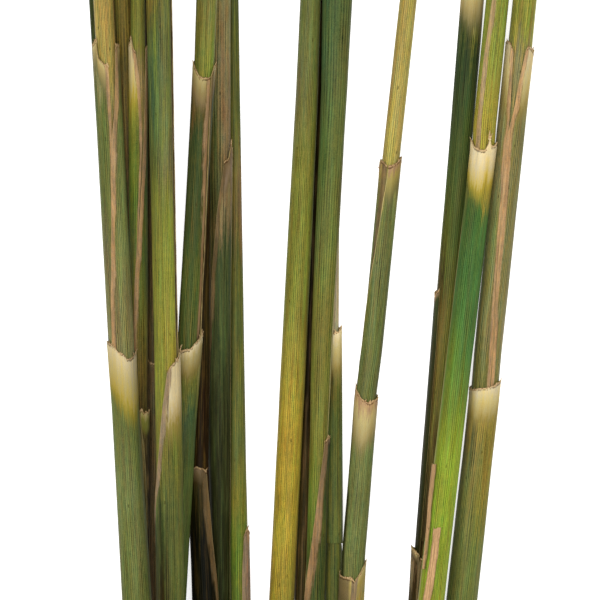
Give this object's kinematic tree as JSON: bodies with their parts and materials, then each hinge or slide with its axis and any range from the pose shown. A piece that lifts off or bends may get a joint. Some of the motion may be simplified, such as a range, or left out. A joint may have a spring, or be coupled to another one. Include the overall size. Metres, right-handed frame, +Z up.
{
  "type": "bunch of reeds",
  "caption": "Bunch of cut reed stems lying side by side and across each other, hollow, with leaf sheaths torn off at ragged collars.",
  "frame": {"origin": "middle of the bunch's box at its lowest point, which rests on the surface", "axes": "+Y runs along the stems towards their tips, +X across the bunch, +Z up"},
  "size_m": [0.1524, 0.2574, 0.0379],
  "materials": {
    "reed_green": "dull green stalk skin, finely ribbed, satin",
    "reed_teal": "dull blue-green stalk skin, finely ribbed, satin",
    "reed_olive": "olive stalk skin, finely ribbed, satin",
    "reed_gold": "golden tan stalk skin, finely ribbed, satin",
    "reed_brown": "dark brown stalk skin, matte",
    "torn_skin": "pale tan dry papery skin, matte"
  },
  "bodies": {
    "root": {"sheath_left_10": "reed_brown", "sheath_left_1_lower": "reed_green", "sheath_left_1_upper": "reed_gold", "sheath_left_3_lower": "reed_green", "sheath_left_3_upper": "reed_green", "sheath_left_4_lower": "reed_green", "sheath_left_4_upper": "reed_green", "sheath_left_6_lower": "reed_teal", "sheath_left_6_upper": "reed_olive", "sheath_left_7": "reed_brown", "sheath_left_8": "reed_gold", "sheath_left_9": "reed_brown", "sheath_mid_2": "reed_green", "sheath_mid_3": "reed_green", "sheath_mid_5_lower": "reed_olive", "sheath_mid_5_middle": "reed_olive", "sheath_mid_5_upper": "reed_green", "sheath_right_1_lower": "reed_olive", "sheath_right_1_middle": "reed_olive", "sheath_right_1_upper": "reed_teal", "sheath_right_2_lower": "reed_green", "sheath_right_2_upper": "reed_olive", "sheath_right_3_lower": "reed_olive", "sheath_right_3_upper": "reed_olive", "stem_left_0": "reed_green", "stem_left_1": "reed_gold", "stem_left_10": "reed_brown", "stem_left_2": "reed_olive", "stem_left_3": "reed_green", "stem_left_4": "reed_brown", "stem_left_6": "reed_olive", "stem_left_7": "reed_olive", "stem_left_8": "reed_olive", "stem_left_9": "reed_brown", "stem_mid_1": "reed_olive", "stem_mid_2": "reed_teal", "stem_mid_3": "reed_olive", "stem_mid_4": "reed_brown", "stem_mid_5": "reed_green", "stem_right_1": "reed_olive", "stem_right_2": "reed_green", "stem_right_3": "reed_olive", "torn_strip_1": "torn_skin", "torn_strip_2": "torn_skin", "torn_strip_3": "torn_skin"}
  },
  "joints": []
}
